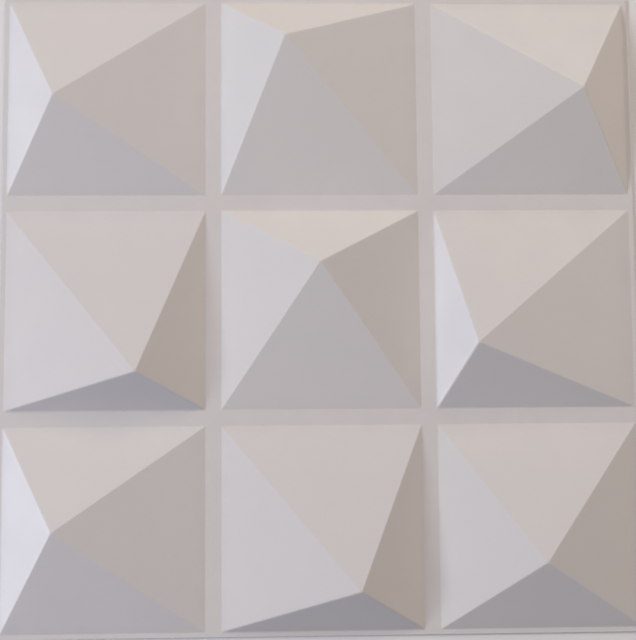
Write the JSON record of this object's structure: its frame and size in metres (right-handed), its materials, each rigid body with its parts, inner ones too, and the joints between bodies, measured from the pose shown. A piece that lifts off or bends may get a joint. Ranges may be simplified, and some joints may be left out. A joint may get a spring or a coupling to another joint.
{
  "type": "3d wall panel tile",
  "caption": "Square moulded wall panel with off-centre raised pyramids, flat grooves between them, a thin flat rim and a hollow back.",
  "frame": {"origin": "middle of the panel's back, in the plane that touches the wall", "axes": "+Z out of the wall, towards the pyramids' tops; +Y up on the wall; +X to the right, seen from the front"},
  "size_m": [0.5, 0.5, 0.025],
  "materials": {
    "matt_plastic": "matt white, very finely grained"
  },
  "bodies": {
    "root": {"wall_panel": "matt_plastic"}
  },
  "joints": []
}
